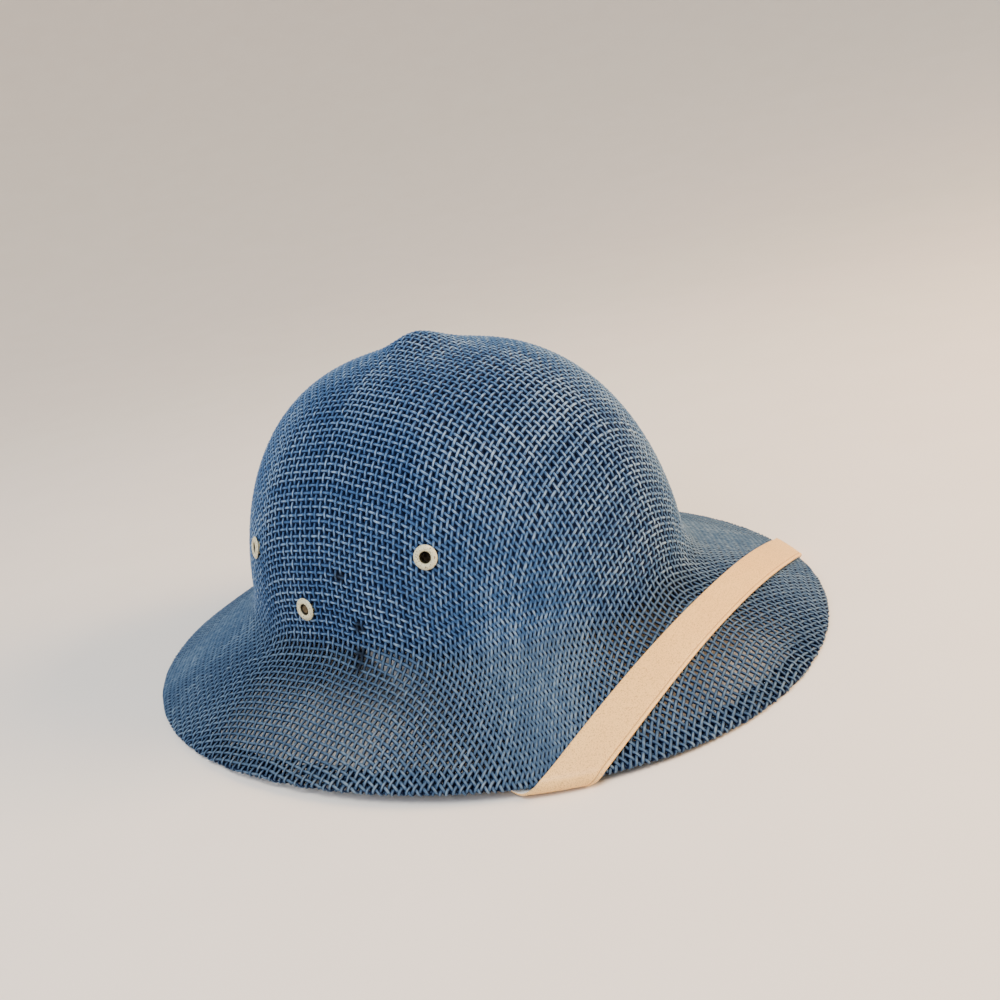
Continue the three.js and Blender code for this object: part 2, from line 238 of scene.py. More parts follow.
# Twisted paper straw, dyed and lacquered: satin yarns streaked along the twist, uneven in dye from yarn to yarn, with
# a pale crest that is partly a painted highlight, flanks and under parts darkened as painted shade, and the brim
# greyed to slate as painted shade. The streaks are drawn about twice as coarse as real ones, to show.
@dataclass(frozen=True)
class PaperStraw(Finish):
    """The blue yarns of the shell."""

    name: str = "paper_straw"
    # The flank colour darkens the flanks and under parts as painted shade, the deep colour is partly painted shade,
    # the crest colour is partly a painted highlight, and the slate colour greys the brim as painted shade.
    flank_shade: str = "#03112e"
    deep: str = "#17335e"
    strand: str = "#3e6089"
    crest: str = "#a4c1da"
    slate: str = "#40505a"
    stain: str = "#070c16"
    streak_length: float = 3.0
    streak_width: float = 0.28
    streak_depth: float = 0.2
    yarn_parting: float = 90.0
    blotch: float = 30.0
    height_light: Span = (0.05, 0.35)
    streak_light: float = 0.8
    yarn_light: float = 0.18
    blotch_light: float = 0.35
    light_range: Span = (0.42, 1.35)
    crest_edge: Span = (0.16, 0.42)
    flank_shade_share: float = 0.97
    sunk_range: Span = (-0.9, 0.3)
    sunk_shade_share: float = 0.3
    brim_range: Span = (1.0, 0.5)
    brim_shade_share: float = 0.6
    brim_narrowing: float = 0.95
    roughness: float = 0.56
    ior: float = 1.48
    specular: float = 0.1

    def look(self, tree: NodeTree) -> dict[str, Any]:
        """Adds streaked, shaded yarns.

        Args:
            tree: The material's tree.

        Returns:
            The surface's inputs.
        """
        add = partial(add_node, tree)
        tone, over, stain, run, across, skirt = (
            add(MARK, {"attribute_name": name}).outputs["Fac"]
            for name in ("tone", "over", "stain", "run", "across", "skirt"))
        lean = add(MATH, TIMES_PLUS, (across, self.streak_length / 4, run))
        along = add(MATH, DIVIDED, (lean, self.streak_length))
        aside = add(MATH, DIVIDED, (across, self.streak_width))
        parted = add(MATH, TIMES, (tone, self.yarn_parting))
        twist = add("ShaderNodeCombineXYZ", {}, (along, aside, parted))
        fibre = add(NOISE, {}, {"Vector": twist, "Scale": 1.0, "Detail": 3.0, "Roughness": 0.6})
        blotch = add(NOISE, {}, {"Vector": self.place(tree), "Scale": 1 / self.blotch, "Detail": 2.0})
        # Lighter where a yarn passes over and darker where it passes under: painted light and shade, partly also dye
        # worn off the raised parts.
        light = add(RANGE, {}, (over, -1.0, 1.0, *self.height_light))
        for source, share in ((fibre, self.streak_light), (tone, self.yarn_light), (blotch, self.blotch_light)):
            light = add(MATH, TIMES_PLUS, (source, share, light))
        # The ramp runs from the deep colour, partly painted shade, to the crest colour, partly a painted highlight.
        colour = add("ShaderNodeValToRGB", {}, (add(RANGE, {}, (light, *self.light_range)),))
        stops = colour.color_ramp.elements
        stops.new(0.5)
        for stop, code in zip(stops, (self.deep, self.strand, self.crest)):
            stop.color = linear(code)
        # The flanks are darkened towards the flank colour and the crest is left pale: painted shade and painted
        # highlight, with the pale band narrower on the brim.
        narrow = add(RANGE, {}, (skirt, *self.brim_range, 1.0, self.brim_narrowing))
        breadth = add(MATH, TIMES, (add(MATH, ABSOLUTE, (across,)), narrow))
        side = add(RANGE, {"interpolation_type": "SMOOTHSTEP"}, (breadth, *self.crest_edge, 0.0, self.flank_shade_share))
        # Parts of a yarn that pass under are darkened, and joined with the flanks' darkening: painted shade.
        sunk_shade = add(RANGE, {}, (over, *self.sunk_range, self.sunk_shade_share, 0.0))
        dark = add(MATH, {"operation": "MAXIMUM"}, (side, sunk_shade))
        # The brim is greyed towards the slate colour: painted shade.
        fade = add(RANGE, {}, (skirt, *self.brim_range, 0.0, self.brim_shade_share))
        for share, code in ((fade, self.slate), (dark, self.flank_shade), (stain, self.stain)):
            colour = add(MIX, RGBA, {FACTOR: share, FIRST: colour, SECOND: linear(code)})
        bump = add(BUMP, {}, {"Strength": 0.6, "Distance": self.streak_depth * MM, "Height": fibre})
        return {"Base Color": colour, "Normal": bump, "Roughness": self.roughness, "IOR": self.ior,
                "Specular IOR Level": self.specular}


# Stove enamel over pressed steel: smooth and faintly yellowed, with chips where rust shows, and the hole's wall
# darkened as painted shade
@dataclass(frozen=True)
class IvoryEnamel(Finish):
    """The eyelets' coat."""

    name: str = "ivory_enamel"
    coat: str = "#d3cfab"
    rust: str = "#5b3418"
    bore_shade: str = "#2b271b"
    chip: float = 0.55
    chip_depth: float = 0.08
    chip_range: Span = (0.57, 0.62)
    roughness: Span = (0.3, 0.85)

    def look(self, tree: NodeTree) -> dict[str, Any]:
        """Adds a chipped coat.

        Args:
            tree: The material's tree.

        Returns:
            The surface's inputs.
        """
        add = partial(add_node, tree)
        chips = add(NOISE, {}, {"Vector": self.place(tree), "Scale": 1 / self.chip, "Detail": 4.0, "Roughness": 0.65})
        worn = add(RANGE, {}, (chips, *self.chip_range))
        # The wall of the hole is darkened: painted shade.
        bore = add(MARK, {"attribute_name": "bore"}).outputs["Fac"]
        colour = linear(self.coat)
        for share, code in ((worn, self.rust), (bore, self.bore_shade)):
            colour = add(MIX, RGBA, {FACTOR: share, FIRST: colour, SECOND: linear(code)})
        rough = add(RANGE, {}, (worn, 0.0, 1.0, *self.roughness))
        bump = add(BUMP, {"invert": True}, {"Strength": 0.6, "Distance": self.chip_depth * MM, "Height": worn})
        return {"Base Color": colour, "Roughness": rough, "Normal": bump}


# Calendered vinyl on a cloth backing: cream and satin, with brown specks in a fine grain and painted shade in the
# groove along the welt
@dataclass(frozen=True)
class CreamVinyl(Finish):
    """The chin strap's finish."""

    name: str = "cream_vinyl"
    face: str = "#f5ca80"
    warm: str = "#eabb74"
    speck_and_shade: str = "#8a6038"
    backing: str = "#ece7dc"
    grain: float = 0.5
    grain_depth: float = 0.06
    cloud: float = 18.0
    speck_range: Span = (0.5, 0.66)
    speck_share: float = 0.6
    roughness: float = 0.46

    def look(self, tree: NodeTree) -> dict[str, Any]:
        """Adds a specked face and a pale back.

        Args:
            tree: The material's tree.

        Returns:
            The surface's inputs.
        """
        add = partial(add_node, tree)
        place = self.place(tree)
        grain = add(NOISE, {}, {"Vector": place, "Scale": 1 / self.grain, "Detail": 3.0})
        cloud = add(NOISE, {}, {"Vector": place, "Scale": 1 / self.cloud, "Detail": 2.0})
        specks = add(RANGE, {}, (grain, *self.speck_range, 0.0, self.speck_share))
        seam, lift = (add(MARK, {"attribute_name": name}).outputs["Fac"] for name in ("seam", "lift"))
        behind = add(MATH, {"operation": "LESS_THAN"}, (lift, -0.5))
        colour = linear(self.face)
        # The groove along the welt takes the speck colour as painted shade.
        for share, code in ((cloud, self.warm), (specks, self.speck_and_shade), (seam, self.speck_and_shade), (behind, self.backing)):
            colour = add(MIX, RGBA, {FACTOR: share, FIRST: colour, SECOND: linear(code)})
        bump = add(BUMP, {}, {"Strength": 0.35, "Distance": self.grain_depth * MM, "Height": grain})
        return {"Base Color": colour, "Normal": bump, "Roughness": self.roughness}


# Stamped brass gone dull: warm metal, brown in patches
@dataclass(frozen=True)
class AgedBrass(Finish):
    """The rivets' finish."""

    name: str = "aged_brass"
    bright: str = "#746a55"
    brown: str = "#3a3024"
    tarnish: float = 1.6
    roughness: Span = (0.32, 0.57)

    def look(self, tree: NodeTree) -> dict[str, Any]:
        """Adds tarnished metal.

        Args:
            tree: The material's tree.

        Returns:
            The surface's inputs.
        """
        add = partial(add_node, tree)
        tarnish = add(NOISE, {}, {"Vector": self.place(tree), "Scale": 1 / self.tarnish, "Detail": 3.0})
        colour = add(MIX, RGBA, {FACTOR: tarnish, FIRST: linear(self.bright), SECOND: linear(self.brown)})
        rough = add(RANGE, {}, (tarnish, 0.0, 1.0, *self.roughness))
        return {"Base Color": colour, "Roughness": rough, "Metallic": 1.0}


# Matt painted board: nearly even, with a faint mottle
@dataclass(frozen=True)
class PaleBoard(Finish):
    """The floor and backdrop."""

    name: str = "pale_board"
    light: str = "#f0ebe3"
    shade: str = "#ebe5dc"
    mottle: float = 60.0
    roughness: float = 0.9

    def look(self, tree: NodeTree) -> dict[str, Any]:
        """Adds mottled paint.

        Args:
            tree: The material's tree.

        Returns:
            The surface's inputs.
        """
        add = partial(add_node, tree)
        mottle = add(NOISE, {}, {"Vector": self.place(tree), "Scale": 1 / self.mottle, "Detail": 2.0})
        colour = add(MIX, RGBA, {FACTOR: mottle, FIRST: linear(self.light), SECOND: linear(self.shade)})
        return {"Base Color": colour, "Roughness": self.roughness}


@dataclass(frozen=True)
class Form:
    """Outer surface of the shell in millimetres.

    An angle runs from the front towards the wearer's right. A place runs from the top down: 0 to 1 is
    the crown, 1 to 2 the fillet and 2 to 3 the brim, and past 3 the brim runs on.
    """

    crown_half_length: float = 112.7
    crown_half_width: float = 93.0
    crown_plan_power: float = 2.15
    setback: float = 2.2
    top: float = 146.3
    side_power: float = 2.56
    rise_power: float = 2.09
    base: float = 32.3
    share_above_fillet: float = 0.935
    row_crowding: float = 1.5
    bump_height: float = 7.1
    bump_radius: float = 15.5
    panels: int = 6
    flatness: float = 0.33
    fade: float = 0.92
    ridge_softness: float = 0.06
    brim_front: float = 173.7
    brim_side: float = 147.4
    brim_back: float = 169.3
    brim_plan_power: float = 2.087
    droop: float = 0.1
    share_in_fillet: float = 0.2
    edge_front: float = 4.2
    edge_side: float = 5.1
    edge_back: float = 2.1
    edge_wave: float = 1.2
    wall: float = 1.6
    hem_thickness: float = 3.2
    probe: float = 0.004
    nearest_top: float = 0.02
    wall_places: Span = (0.2, 1.8)

    def oval(self, angle: Array, front: float, side: float, back: float, power: float) -> Array:
        """Radius of a plan by its reaches: an ellipse for a power of 2, squarer for more."""
        along = (np.abs(np.cos(angle)) / np.where(np.cos(angle) > 0, front, back)) ** power
        return (along + (np.abs(np.sin(angle)) / side) ** power) ** (-1 / power)

    def crown_radius(self, angle: Array) -> Array:
        """Radius of the crown at its base."""
        half = self.crown_half_length
        return self.oval(angle, half, self.crown_half_width, half, self.crown_plan_power)

    def brim_radius(self, angle: Array) -> Array:
        """Radius of the brim at its edge."""
        return self.oval(angle, self.brim_front, self.brim_side, self.brim_back, self.brim_plan_power)

    def edge_height(self, angle: Array) -> Array:
        """Height of the brim's edge.

        Args:
            angle: Angles from the front.

        Returns:
            The heights.
        """
        ends = (self.edge_front + self.edge_back) / 4
        pitch = (self.edge_front - self.edge_back) / 2
        arch = ends - self.edge_side / 2
        level = ends + self.edge_side / 2
        return level + pitch * np.cos(angle) + arch * np.cos(2 * angle) - self.edge_wave * np.cos(3 * angle)

    def panel_swell(self, angle: Array) -> Array:
        """How far a six-sided plan stands off a round one.

        Args:
            angle: Angles from the front.

        Returns:
            The ratio of the two radii.
        """
        half = math.pi / self.panels
        from_ridge = np.mod(angle + half, 2 * half) - half
        from_middle = half - np.hypot(from_ridge, self.ridge_softness)
        return math.cos(half) / np.cos(from_middle) / ((1 + math.cos(half)) / 2)

    def crown_section(self, angle: Array, share: Array) -> Pair:
        """Section of the crown.

        Args:
            angle: Angles from the front.
            share: 0 at the top, 1 at the base.

        Returns:
            Radii and heights.
        """
        turn = share * math.pi / 2
        spread = np.sin(turn) ** (2 / self.side_power)
        rise = np.maximum(np.cos(turn), 0) ** (2 / self.rise_power)
        panel = 1 + self.flatness * np.sin(math.pi * self.fade * share) * (self.panel_swell(angle) - 1)
        radius = self.crown_radius(angle) * spread * panel
        bump = self.bump_height * np.exp(-((radius / self.bump_radius) ** 2))
        return radius, self.base + (self.top - self.base) * rise + bump

    def brim_section(self, angle: Array, share: Array) -> Pair:
        """Section of the brim.

        Args:
            angle: Angles from the front.
            share: 0 at the crown, 1 at the edge.

        Returns:
            Radii and heights.
        """
        inner = self.crown_radius(angle)
        radius = inner + (self.brim_radius(angle) - inner) * share
        fall = share - self.droop * share * (1 - share)
        return radius, self.base + (self.edge_height(angle) - self.base) * fall

    def section(self, angle: Array, place: Array) -> Pair:
        """Section of the whole outer surface.

        Args:
            angle: Angles from the front.
            place: Places from the top.

        Returns:
            Radii and heights.
        """
        last = np.full(np.shape(place), self.share_above_fillet)
        first = np.full(np.shape(place), self.share_in_fillet)
        crown = self.crown_section(angle, last * np.clip(place, 0, 1) ** self.row_crowding)
        brim = self.brim_section(angle, first + (1 - first) * np.maximum(place - 2, 0))
        above, below = self.crown_section(angle, last), self.brim_section(angle, first)
        corner = (self.crown_radius(angle), self.base)
        way = np.clip(place - 1, 0, 1)
        fillet = [(1 - way) ** 2 * a + 2 * way * (1 - way) * c + way ** 2 * b
                  for a, c, b in zip(above, corner, below)]
        radius, height = (np.where(place <= 1, c, np.where(place >= 2, b, f))
                          for c, f, b in zip(crown, fillet, brim))
        return radius, height

    def point(self, angle: Array, place: Array) -> Array:
        """Points of the outer surface.

        Args:
            angle: Angles from the front.
            place: Places from the top.

        Returns:
            Points in millimetres.
        """
        angle, place = np.broadcast_arrays(np.asarray(angle, float), np.asarray(place, float))
        radius, height = self.section(angle, place)
        return np.stack([-radius * np.sin(angle), self.setback - radius * np.cos(angle), height], -1)

    def along(self, angle: Array, place: Array) -> Array:
        """Unit vectors down the surface."""
        place = np.maximum(place, 2 * self.probe)
        return unit(self.point(angle, place + self.probe) - self.point(angle, place - self.probe))

    def normal(self, angle: Array, place: Array) -> Array:
        """Unit vectors out of the surface."""
        place, step = np.maximum(place, self.nearest_top), self.probe
        return unit(np.cross(self.point(angle + step, place) - self.point(angle - step, place),
                             self.along(angle, place)))

    def below(self, angle: Array, place: Array, depth: Array | float) -> Array:
        """Points at depths under the outer surface."""
        return self.point(angle, place) - self.normal(angle, place) * np.asarray(depth)[..., None]

    def slope(self, angle: Array) -> Array:
        """Length of the brim between the fillet and the edge."""
        inner, outer = (self.brim_section(angle, np.full(np.shape(angle), s)) for s in (self.share_in_fillet, 1.0))
        return np.hypot(outer[0] - inner[0], outer[1] - inner[1])

    def place_at(self, angle: float, height: float) -> float:
        """Place on the crown's wall at a height."""
        return last_kept(*self.wall_places, lambda place: self.point(angle, place)[2] > height)

    def seat(self, degrees: float, height: float) -> Pair:
        """Where something sits on the crown's wall.

        Args:
            degrees: Angle from the front in degrees.
            height: Height in millimetres.

        Returns:
            The point, and the way out of the surface there.
        """
        angle = math.radians(degrees)
        place = self.place_at(angle, height)
        return self.point(angle, place), self.normal(angle, place)

    def woven(self, angle: Array, place: Array) -> Pair:
        """Middle of the weave, which turns round the rim and under it past place 3.

        Args:
            angle: Angles from the front.
            place: Places from the top.

        Returns:
            Points in millimetres and the ways that the weave faces.
        """
        roll = self.wall / 2
        slope = self.slope(angle)
        past = np.maximum(place - 3, 0) * slope
        turn = np.minimum(past / roll, math.pi)
        back = np.maximum(past - math.pi * roll, 0) / slope
        on = np.minimum(place, 3) - back
        up, out = self.normal(angle, on), self.along(angle, on)
        facing = up * np.cos(turn)[..., None] + out * np.sin(turn)[..., None]
        depth = np.where(past > 0, self.hem_thickness / 2, self.wall / 2)
        lift = np.where(past > 0, roll, 0)
        return self.below(angle, on, depth) + facing * lift[..., None], facing


@dataclass(frozen=True)
class Eyelet:
    """One eyelet: where it sits and the solid that it stands for."""

    node: str
    angle: float
    height: float


EYELETS = (
    Eyelet("vent_eyelet_right_front", 61, 77),
    Eyelet("vent_eyelet_left_front", -61, 77),
    Eyelet("vent_eyelet_right_back", 128, 73),
    Eyelet("vent_eyelet_left_back", -128, 73),
    Eyelet("strap_eyelet_right", ANCHOR_ANGLE, ANCHOR_HEIGHT),
    Eyelet("strap_eyelet_left", -ANCHOR_ANGLE, ANCHOR_HEIGHT),
)


@dataclass(frozen=True)
class Stain:
    """A small dark spot on the weave."""

    angle: float
    height: float
    radius: float


STAINS = (
    Stain(90, 67.7, 2.2),
    Stain(85.2, 45.7, 2.2),
    Stain(85, 34.8, 2.4),
    Stain(84.5, 30.6, 2.1),
)


@dataclass(frozen=True)
class Yarn:
    """Points along one yarn: spots on the disc, heights in the weave from -1 to 1, and squareness."""

    spots: Array
    over: Array
    square: Array


@dataclass
class WovenShell:
    """The shell as an open plain weave: a net of two families of yarns with evenly spaced crossings."""

    form: Form
    crosswise_spacing: float = 2.95
    lengthwise_spacing: float = 3.2
    turn: float = math.radians(5)
    knots: tuple[float, ...] = (0.0, 163.0, 187.0, 237.0)
    run_on: float = 1.1
    run_samples: int = 4000
    meet_rounds: int = 12
    meet_probe: float = 0.01
    meet_stride: float = 2.0
    hem_width: float = 10.0
    hem_places: Span = (2.97, 3.12)
    steps: int = 2
    hem_steps: int = 6
    yarn_width: float = 3.1
    yarn_thickness: float = 1.0
    yarn_sides: int = 6
    crest: float = 0.42
    flank_start: float = 0.7
    drop: float = 0.35
    rise: float = 0.32
    brim_places: Span = (1.05, 1.55)
    brim_skirt: float = 0.57
    thinning: float = 0.15
    squarest: float = 0.15
    least_square: float = 0.35
    cut_radius: float = 3.7
    cut_depth: float = 8.0
    stain_reach: float = 1.7
    stain_share: float = 0.85
    wander: float = 0.08
    crowding: float = 0.14
    girth_spread: float = 0.05
    girth_range: Span = (0.8, 1.25)
    run_spread: float = 500.0
    finish: PaperStraw = field(default_factory=PaperStraw)

    def place_of(self, spot: Array) -> Pair:
        """Angle and place of spots on the flat cloth's disc.

        Args:
            spot: Disc coordinates, the distance from the top being about the length down the surface.

        Returns:
            Angles and places.
        """
        reach = np.hypot(spot[..., 0], spot[..., 1])
        beyond = np.maximum(reach - self.knots[3], 0) / (self.knots[3] - self.knots[2])
        return np.arctan2(spot[..., 0], spot[..., 1]), np.interp(reach, self.knots, range(4)) + beyond

    def surface(self, spot: Array) -> Array:
        """Surface points of spots on the disc."""
        return self.form.point(*self.place_of(spot))

    def limit(self, angle: Array) -> Array:
        """Place at which the turned-under hem ends."""
        return 3 + (self.hem_width + math.pi * self.form.wall / 2) / self.form.slope(angle)

    def first_yarn(self, angle: float, spacing: float) -> Array:
        """Crossings along a yarn that runs straight down from the top.

        Args:
            angle: The angle that it runs at.
            spacing: Distance between crossings.

        Returns:
            Disc coordinates.
        """
        reach = np.linspace(0, self.knots[3] * self.run_on, self.run_samples)
        way = np.array([math.sin(angle), math.cos(angle)])
        length = lengths(self.surface(reach[:, None] * way))
        spots = np.interp(np.arange(0, length[-1], spacing), length, reach)[:, None] * way
        around, place = self.place_of(spots)
        return spots[place < self.limit(around)]

    def meet(self, guess: Array, neighbours: Pair, reaches: Span) -> Array:
        """Spots at set distances from two others.

        Args:
            guess: Disc coordinates to start from.
            neighbours: Disc coordinates of the two others.
            reaches: Distance to each of them.

        Returns:
            Disc coordinates.
        """
        ends = [self.surface(neighbour) for neighbour in neighbours]
        spot, step = guess.copy(), self.meet_probe
        for _ in range(self.meet_rounds):
            here = self.surface(spot)
            slopes = [(self.surface(spot + np.array(move)) - here) / step for move in ((step, 0), (0, step))]
            miss = np.stack([np.sum((here - end) ** 2, -1) - reach ** 2 for end, reach in zip(ends, reaches)], -1)
            rows = np.stack([np.stack([2 * np.sum((here - end) * s, -1) for s in slopes], -1) for end in ends], -2)
            change = np.linalg.solve(rows + 1e-9 * np.eye(2), miss[..., None])[..., 0]
            spot = spot - np.clip(change, -self.meet_stride, self.meet_stride)
        return spot

    def quarter(self, lengthwise: Array, crosswise: Array) -> Array:
        """Crossings of one quarter of the net.

        Args:
            lengthwise: Crossings along the first lengthwise yarn.
            crosswise: Crossings along the first crosswise yarn.

        Returns:
            Disc coordinates by place along each, not a number where the cloth has ended.
        """
        rows, columns = len(lengthwise), len(crosswise)
        net = np.full((rows, columns, 2), np.nan)
        net[:, 0], net[0, :] = lengthwise, crosswise
        for total in range(2, rows + columns - 1):
            i = np.arange(max(1, total - columns + 1), min(rows - 1, total - 1) + 1)
            j = total - i
            ready = np.isfinite(net[i, j - 1, 0]) & np.isfinite(net[i - 1, j, 0])
            i, j = i[ready], j[ready]
            if not len(i):
                continue
            beside, before, corner = net[i, j - 1], net[i - 1, j], net[i - 1, j - 1]
            spots = self.meet(beside + before - corner, (beside, before),
                              (self.lengthwise_spacing, self.crosswise_spacing))
            angle, place = self.place_of(spots)
            kept = place < self.limit(angle)
            net[i[kept], j[kept]] = spots[kept]
        return net

    def net(self) -> Array:
        """The whole net of crossings.

        Returns:
            Disc coordinates by lengthwise and crosswise number.
        """
        quarters = {}
        for front in (1, -1):
            ahead = self.first_yarn(self.turn + (0 if front > 0 else math.pi), self.crosswise_spacing)
            for right in (1, -1):
                aside = self.first_yarn(self.turn + right * math.pi / 2, self.lengthwise_spacing)
                quarters[front, right] = self.quarter(ahead, aside)
        rows, columns = (max(part.shape[axis] for part in quarters.values()) for axis in (0, 1))
        whole = np.full((2 * rows - 1, 2 * columns - 1, 2), np.nan)
        for (front, right), part in quarters.items():
            i = rows - 1 + front * np.arange(part.shape[0])
            j = columns - 1 + right * np.arange(part.shape[1])
            whole[np.ix_(i, j)] = part
        return whole

    def disturbed(self, net: Array) -> Array:
        """Sets yarns unevenly apart, as hands and moulds leave them.

        Args:
            net: The crossings.

        Returns:
            The crossings, moved.
        """
        rng = np.random.default_rng(SEED)
        moved = net + rng.normal(0, self.wander, net.shape)
        for axis in (0, 1):
            way = np.nan_to_num(unit(np.gradient(net, axis=axis)))
            shape = [1, 1, 1]
            shape[axis] = net.shape[axis]
            moved = moved + way * rng.normal(0, self.crowding, shape)
        return moved

    def squareness(self, net: Array) -> Array:
        """How squarely the yarns cross, which is where the mould has spread the cloth widest.

        Args:
            net: The crossings.

        Returns:
            0 where the cloth is drawn on the bias, 1 where the yarns cross squarely.
        """
        points = self.surface(net)
        first, second = (unit(np.gradient(points, axis=axis)) for axis in (0, 1))
        lean = np.nan_to_num(np.abs(np.sum(first * second, -1)), nan=1.0)
        share = np.clip((self.least_square - lean) / (self.least_square - self.squarest), 0, 1)
        return share * share * (3 - 2 * share)

    def yarns(self, net: Array, family: Family) -> list[Yarn]:
        """The yarns of one family, with points between the crossings and more of them round the rim.

        Args:
            net: The crossings, each with its squareness.
            family: Which family.

        Returns:
            The yarns.
        """
        lines = net.transpose(1, 0, 2) if family is Family.LENGTHWISE else net
        first = 1.0 if family is Family.LENGTHWISE else -1.0
        before, after = self.hem_places
        made = []
        for number, line in enumerate(lines):
            held = np.flatnonzero(np.isfinite(line[:, 0]))
            for run in np.split(held, np.flatnonzero(np.diff(held) > 1) + 1):
                if len(run) < 3:
                    continue
                knots = np.arange(len(run))
                _, place = self.place_of(line[run])
                folds = (np.maximum(place[1:], place[:-1]) > before) & (np.minimum(place[1:], place[:-1]) < after)
                steps = [np.arange(k, k + 1, 1 / (self.hem_steps if fold else self.steps))
                         for k, fold in zip(knots, folds)]
                at = np.append(np.concatenate(steps), knots[-1])
                across, ahead, square = (np.interp(at, knots, line[run, c]) for c in range(3))
                over = first * (-1) ** (number + run[0]) * np.cos(math.pi * at)
                made.append(Yarn(np.stack([across, ahead], -1), over, square))
        return made

    def lines(self, yarns: list[Yarn], name: str) -> Object:
        """Makes one object of the lines that yarns follow.

        Args:
            yarns: The yarns.
            name: The object's name.

        Returns:
            The object, with each point's facing, height, tone, girth, skirt, run and stain as attributes.
        """
        rng = np.random.default_rng([SEED, len(yarns), len(name)])
        seats = [self.form.seat(eyelet.angle, eyelet.height) for eyelet in EYELETS]
        stains = [(self.form.seat(stain.angle, stain.height)[0], stain.radius) for stain in STAINS]
        columns = {key: [] for key in ("co", "facing", "over", "tone", "girth", "skirt", "run", "stain")}
        edges, count = [], 0
        crown_end, brim_start = self.brim_places
        for yarn in yarns:
            angle, place = self.place_of(yarn.spots)
            middle, facing = self.form.woven(angle, place)
            size = len(middle)
            clear, stained = np.ones(size, bool), np.zeros(size)
            for centre, axis in seats:
                off = middle - centre
                high = off @ axis
                aside = np.linalg.norm(off - high[:, None] * axis, axis=1)
                clear &= (aside > self.cut_radius) | (np.abs(high) > self.cut_depth)
            for centre, radius in stains:
                apart = np.linalg.norm(middle - centre, axis=1) / radius
                stained = np.maximum(stained, np.clip(self.stain_reach - apart, 0, self.stain_share))
            tone, girth = rng.uniform(0, 1), rng.normal(1, self.girth_spread)
            girths = np.clip(girth + rng.normal(0, self.girth_spread, size), *self.girth_range)
            run = lengths(middle) + rng.uniform(0, self.run_spread)
            thinner = 1 - self.brim_skirt + self.thinning * yarn.square
            skirt = 1 - thinner * np.clip((place - crown_end) / (brim_start - crown_end), 0, 1)
            values = (middle * MM, facing, yarn.over, np.full(size, tone), girths, skirt, run, stained)
            for column, value in zip(columns.values(), values):
                column.append(value)
            starts = np.flatnonzero(clear[1:] & clear[:-1]) + count
            edges.append(np.stack([starts, starts + 1], -1))
            count += size
        marks = {key: np.concatenate(column) for key, column in columns.items()}
        pairs = np.concatenate(edges)
        mesh = bpy.data.meshes.new(name)
        mesh.vertices.add(count)
        mesh.vertices.foreach_set("co", marks.pop("co").ravel())
        mesh.edges.add(len(pairs))
        mesh.edges.foreach_set("vertices", pairs.ravel())
        ways = mesh.attributes.new("facing", "FLOAT_VECTOR", "POINT")
        ways.data.foreach_set("vector", marks.pop("facing").ravel())
        mark(mesh, marks)
        return link(name, mesh)

    def yarn_tree(self) -> NodeTree:
        """Builds the tree that lays a yarn along each line, over and under its neighbours.

        A yarn has six sides: a raised crest and two wide flanks, which are lowered, and drawn in on the brim.

        Returns:
            The tree.
        """
        tree = bpy.data.node_groups.new("lay_yarns", "GeometryNodeTree")
        add, face = partial(add_node, tree), tree.interface
        sizes = [(name, "Float") for name in ("Rise", "Width", "Thickness", "Crest", "Drop")]
        for name, kind in (("Geometry", "Geometry"), *sizes, ("Yarn", "Material")):
            face.new_socket(name, in_out="INPUT", socket_type=f"NodeSocket{kind}")
        face.new_socket("Geometry", in_out="OUTPUT", socket_type="NodeSocketGeometry")
        given = add("NodeGroupInput").outputs
        here = add("GeometryNodeInputPosition")
        facing, middle, over, girth, skirt, spread = (
            add("GeometryNodeInputNamedAttribute", {"data_type": kind}, {"Name": name})
            for name, kind in (("facing", "FLOAT_VECTOR"), ("middle", "FLOAT_VECTOR"), ("over", "FLOAT"),
                               ("girth", "FLOAT"), ("skirt", "FLOAT"), ("across", "FLOAT")))
        # The line of the yarn's middle
        height = add(MATH, TIMES, (over, given["Rise"]))
        offset = add(VECTOR, SCALED, {0: facing, "Scale": height})
        laid = add(SET_POSITION, {}, {"Geometry": given["Geometry"], "Offset": offset})
        curve = add("GeometryNodeMeshToCurve", {}, {"Mesh": laid})
        known = add(STORE, {"data_type": "FLOAT_VECTOR", "domain": "POINT"},
                    {"Geometry": curve, "Name": "middle", "Value": here})
        upright = add("GeometryNodeSetCurveNormal", {"mode": "FREE"}, {"Curve": known, "Normal": facing})
        # The section
        ring = add("GeometryNodeCurvePrimitiveCircle", {}, {"Resolution": self.yarn_sides, "Radius": 1.0})
        spot = add("ShaderNodeSeparateXYZ", {}, (here,)).outputs
        flare = add(RANGE, {}, (spot["X"], -0.5, 0.5, 2 / math.sqrt(3), given["Crest"]))
        across = add(MATH, TIMES, (spot["Y"], flare))
        ridge = add(MATH, TIMES, (spot["X"], add(MATH, ABSOLUTE, (spot["X"],))))
        tall = add(MATH, TIMES, (ridge, given["Thickness"]))
        wide = add(MATH, TIMES, (across, given["Width"]))
        corner = add("ShaderNodeCombineXYZ", {}, (tall, wide))
        halved = add(VECTOR, SCALED, {0: corner, "Scale": 0.5})
        marked = add(STORE, {"data_type": "FLOAT", "domain": "POINT"},
                     {"Geometry": ring, "Name": "across", "Value": across})
        profile = add(SET_POSITION, {}, {"Geometry": marked, "Position": halved})
        made = add("GeometryNodeCurveToMesh", {},
                   {"Curve": upright, "Profile Curve": profile, "Scale": girth, "Fill Caps": True})
